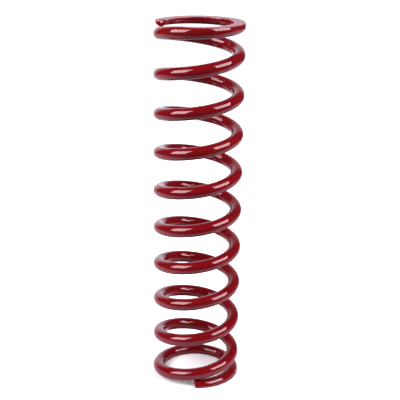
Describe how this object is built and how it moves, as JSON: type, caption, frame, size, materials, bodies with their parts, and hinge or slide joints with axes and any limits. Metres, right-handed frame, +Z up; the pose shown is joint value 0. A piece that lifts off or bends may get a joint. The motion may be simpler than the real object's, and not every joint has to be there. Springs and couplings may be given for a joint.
{
  "type": "coil spring",
  "caption": "Linear suspension coil spring of round wire, closed and ground flat at both ends, red gloss coat; its coils close up under load.",
  "frame": {"origin": "centre of the lower ground end, on the seat plane", "axes": "+Z up the spring's axis, towards the other ground end; +X is at azimuth 0 and the lower wire tip is near -Y"},
  "size_m": [0.0874, 0.0874, 0.361],
  "materials": {
    "red_powder_coat": "gloss powder coat"
  },
  "bodies": {
    "bottom_end_coil": {"bottom_end_coil": "red_powder_coat"},
    "coil_02_right": {"coil_02_right": "red_powder_coat"},
    "coil_02_back": {"coil_02_back": "red_powder_coat"},
    "coil_02_left": {"coil_02_left": "red_powder_coat"},
    "coil_03_front": {"coil_03_front": "red_powder_coat"},
    "coil_03_right": {"coil_03_right": "red_powder_coat"},
    "coil_03_back": {"coil_03_back": "red_powder_coat"},
    "coil_03_left": {"coil_03_left": "red_powder_coat"},
    "coil_04_front": {"coil_04_front": "red_powder_coat"},
    "coil_04_right": {"coil_04_right": "red_powder_coat"},
    "coil_04_back": {"coil_04_back": "red_powder_coat"},
    "coil_04_left": {"coil_04_left": "red_powder_coat"},
    "coil_05_front": {"coil_05_front": "red_powder_coat"},
    "coil_05_right": {"coil_05_right": "red_powder_coat"},
    "coil_05_back": {"coil_05_back": "red_powder_coat"},
    "coil_05_left": {"coil_05_left": "red_powder_coat"},
    "coil_06_front": {"coil_06_front": "red_powder_coat"},
    "coil_06_right": {"coil_06_right": "red_powder_coat"},
    "coil_06_back": {"coil_06_back": "red_powder_coat"},
    "coil_06_left": {"coil_06_left": "red_powder_coat"},
    "coil_07_front": {"coil_07_front": "red_powder_coat"},
    "coil_07_right": {"coil_07_right": "red_powder_coat"},
    "coil_07_back": {"coil_07_back": "red_powder_coat"},
    "coil_07_left": {"coil_07_left": "red_powder_coat"},
    "coil_08_front": {"coil_08_front": "red_powder_coat"},
    "coil_08_right": {"coil_08_right": "red_powder_coat"},
    "coil_08_back": {"coil_08_back": "red_powder_coat"},
    "coil_08_left": {"coil_08_left": "red_powder_coat"},
    "coil_09_front": {"coil_09_front": "red_powder_coat"},
    "coil_09_right": {"coil_09_right": "red_powder_coat"},
    "coil_09_back": {"coil_09_back": "red_powder_coat"},
    "coil_09_left": {"coil_09_left": "red_powder_coat"},
    "coil_10_front": {"coil_10_front": "red_powder_coat"},
    "coil_10_right": {"coil_10_right": "red_powder_coat"},
    "coil_10_back": {"coil_10_back": "red_powder_coat"},
    "top_end_coil": {"top_end_coil": "red_powder_coat"}
  },
  "joints": [
    {"name": "compression", "type": "slide", "parent": "bottom_end_coil", "child": "top_end_coil", "axis": [0, 0, -1], "range_m": [0, 0.19], "stiffness_N_per_m": 51000},
    {"name": "coil_02_right_travel", "type": "slide", "parent": "bottom_end_coil", "child": "coil_02_right", "axis": [0, 0, -1], "range_m": [0, 0.00028]},
    {"name": "coil_02_back_travel", "type": "slide", "parent": "bottom_end_coil", "child": "coil_02_back", "axis": [0, 0, -1], "range_m": [0, 0.00196]},
    {"name": "coil_02_left_travel", "type": "slide", "parent": "bottom_end_coil", "child": "coil_02_left", "axis": [0, 0, -1], "range_m": [0, 0.00653]},
    {"name": "coil_03_front_travel", "type": "slide", "parent": "bottom_end_coil", "child": "coil_03_front", "axis": [0, 0, -1], "range_m": [0, 0.0127]},
    {"name": "coil_03_right_travel", "type": "slide", "parent": "bottom_end_coil", "child": "coil_03_right", "axis": [0, 0, -1], "range_m": [0, 0.01895]},
    {"name": "coil_03_back_travel", "type": "slide", "parent": "bottom_end_coil", "child": "coil_03_back", "axis": [0, 0, -1], "range_m": [0, 0.02521]},
    {"name": "coil_03_left_travel", "type": "slide", "parent": "bottom_end_coil", "child": "coil_03_left", "axis": [0, 0, -1], "range_m": [0, 0.03146]},
    {"name": "coil_04_front_travel", "type": "slide", "parent": "bottom_end_coil", "child": "coil_04_front", "axis": [0, 0, -1], "range_m": [0, 0.03771]},
    {"name": "coil_04_right_travel", "type": "slide", "parent": "bottom_end_coil", "child": "coil_04_right", "axis": [0, 0, -1], "range_m": [0, 0.04396]},
    {"name": "coil_04_back_travel", "type": "slide", "parent": "bottom_end_coil", "child": "coil_04_back", "axis": [0, 0, -1], "range_m": [0, 0.05021]},
    {"name": "coil_04_left_travel", "type": "slide", "parent": "bottom_end_coil", "child": "coil_04_left", "axis": [0, 0, -1], "range_m": [0, 0.05647]},
    {"name": "coil_05_front_travel", "type": "slide", "parent": "bottom_end_coil", "child": "coil_05_front", "axis": [0, 0, -1], "range_m": [0, 0.06272]},
    {"name": "coil_05_right_travel", "type": "slide", "parent": "bottom_end_coil", "child": "coil_05_right", "axis": [0, 0, -1], "range_m": [0, 0.06897]},
    {"name": "coil_05_back_travel", "type": "slide", "parent": "bottom_end_coil", "child": "coil_05_back", "axis": [0, 0, -1], "range_m": [0, 0.07522]},
    {"name": "coil_05_left_travel", "type": "slide", "parent": "bottom_end_coil", "child": "coil_05_left", "axis": [0, 0, -1], "range_m": [0, 0.08147]},
    {"name": "coil_06_front_travel", "type": "slide", "parent": "bottom_end_coil", "child": "coil_06_front", "axis": [0, 0, -1], "range_m": [0, 0.08772]},
    {"name": "coil_06_right_travel", "type": "slide", "parent": "bottom_end_coil", "child": "coil_06_right", "axis": [0, 0, -1], "range_m": [0, 0.09397]},
    {"name": "coil_06_back_travel", "type": "slide", "parent": "bottom_end_coil", "child": "coil_06_back", "axis": [0, 0, -1], "range_m": [0, 0.10023]},
    {"name": "coil_06_left_travel", "type": "slide", "parent": "bottom_end_coil", "child": "coil_06_left", "axis": [0, 0, -1], "range_m": [0, 0.10648]},
    {"name": "coil_07_front_travel", "type": "slide", "parent": "bottom_end_coil", "child": "coil_07_front", "axis": [0, 0, -1], "range_m": [0, 0.11273]},
    {"name": "coil_07_right_travel", "type": "slide", "parent": "bottom_end_coil", "child": "coil_07_right", "axis": [0, 0, -1], "range_m": [0, 0.11898]},
    {"name": "coil_07_back_travel", "type": "slide", "parent": "bottom_end_coil", "child": "coil_07_back", "axis": [0, 0, -1], "range_m": [0, 0.12523]},
    {"name": "coil_07_left_travel", "type": "slide", "parent": "bottom_end_coil", "child": "coil_07_left", "axis": [0, 0, -1], "range_m": [0, 0.13148]},
    {"name": "coil_08_front_travel", "type": "slide", "parent": "bottom_end_coil", "child": "coil_08_front", "axis": [0, 0, -1], "range_m": [0, 0.13773]},
    {"name": "coil_08_right_travel", "type": "slide", "parent": "bottom_end_coil", "child": "coil_08_right", "axis": [0, 0, -1], "range_m": [0, 0.14399]},
    {"name": "coil_08_back_travel", "type": "slide", "parent": "bottom_end_coil", "child": "coil_08_back", "axis": [0, 0, -1], "range_m": [0, 0.15024]},
    {"name": "coil_08_left_travel", "type": "slide", "parent": "bottom_end_coil", "child": "coil_08_left", "axis": [0, 0, -1], "range_m": [0, 0.15649]},
    {"name": "coil_09_front_travel", "type": "slide", "parent": "bottom_end_coil", "child": "coil_09_front", "axis": [0, 0, -1], "range_m": [0, 0.16274]},
    {"name": "coil_09_right_travel", "type": "slide", "parent": "bottom_end_coil", "child": "coil_09_right", "axis": [0, 0, -1], "range_m": [0, 0.16899]},
    {"name": "coil_09_back_travel", "type": "slide", "parent": "bottom_end_coil", "child": "coil_09_back", "axis": [0, 0, -1], "range_m": [0, 0.17525]},
    {"name": "coil_09_left_travel", "type": "slide", "parent": "bottom_end_coil", "child": "coil_09_left", "axis": [0, 0, -1], "range_m": [0, 0.1815]},
    {"name": "coil_10_front_travel", "type": "slide", "parent": "bottom_end_coil", "child": "coil_10_front", "axis": [0, 0, -1], "range_m": [0, 0.18767]},
    {"name": "coil_10_right_travel", "type": "slide", "parent": "bottom_end_coil", "child": "coil_10_right", "axis": [0, 0, -1], "range_m": [0, 0.19224]},
    {"name": "coil_10_back_travel", "type": "slide", "parent": "bottom_end_coil", "child": "coil_10_back", "axis": [0, 0, -1], "range_m": [0, 0.19392]}
  ],
  "couplings": [
    {"joint": "coil_02_right_travel", "follows": "compression", "ratio": 0.000411},
    {"joint": "coil_02_back_travel", "follows": "compression", "ratio": 0.009073},
    {"joint": "coil_02_left_travel", "follows": "compression", "ratio": 0.032669},
    {"joint": "coil_03_front_travel", "follows": "compression", "ratio": 0.064516},
    {"joint": "coil_03_right_travel", "follows": "compression", "ratio": 0.096774},
    {"joint": "coil_03_back_travel", "follows": "compression", "ratio": 0.12903},
    {"joint": "coil_03_left_travel", "follows": "compression", "ratio": 0.16129},
    {"joint": "coil_04_front_travel", "follows": "compression", "ratio": 0.19355},
    {"joint": "coil_04_right_travel", "follows": "compression", "ratio": 0.22581},
    {"joint": "coil_04_back_travel", "follows": "compression", "ratio": 0.25806},
    {"joint": "coil_04_left_travel", "follows": "compression", "ratio": 0.29032},
    {"joint": "coil_05_front_travel", "follows": "compression", "ratio": 0.32258},
    {"joint": "coil_05_right_travel", "follows": "compression", "ratio": 0.35484},
    {"joint": "coil_05_back_travel", "follows": "compression", "ratio": 0.3871},
    {"joint": "coil_05_left_travel", "follows": "compression", "ratio": 0.41935},
    {"joint": "coil_06_front_travel", "follows": "compression", "ratio": 0.45161},
    {"joint": "coil_06_right_travel", "follows": "compression", "ratio": 0.48387},
    {"joint": "coil_06_back_travel", "follows": "compression", "ratio": 0.51613},
    {"joint": "coil_06_left_travel", "follows": "compression", "ratio": 0.54839},
    {"joint": "coil_07_front_travel", "follows": "compression", "ratio": 0.58064},
    {"joint": "coil_07_right_travel", "follows": "compression", "ratio": 0.6129},
    {"joint": "coil_07_back_travel", "follows": "compression", "ratio": 0.64516},
    {"joint": "coil_07_left_travel", "follows": "compression", "ratio": 0.67742},
    {"joint": "coil_08_front_travel", "follows": "compression", "ratio": 0.70968},
    {"joint": "coil_08_right_travel", "follows": "compression", "ratio": 0.74194},
    {"joint": "coil_08_back_travel", "follows": "compression", "ratio": 0.77419},
    {"joint": "coil_08_left_travel", "follows": "compression", "ratio": 0.80645},
    {"joint": "coil_09_front_travel", "follows": "compression", "ratio": 0.83871},
    {"joint": "coil_09_right_travel", "follows": "compression", "ratio": 0.87097},
    {"joint": "coil_09_back_travel", "follows": "compression", "ratio": 0.90323},
    {"joint": "coil_09_left_travel", "follows": "compression", "ratio": 0.93548},
    {"joint": "coil_10_front_travel", "follows": "compression", "ratio": 0.96733},
    {"joint": "coil_10_right_travel", "follows": "compression", "ratio": 0.99093},
    {"joint": "coil_10_back_travel", "follows": "compression", "ratio": 0.99959}
  ]
}
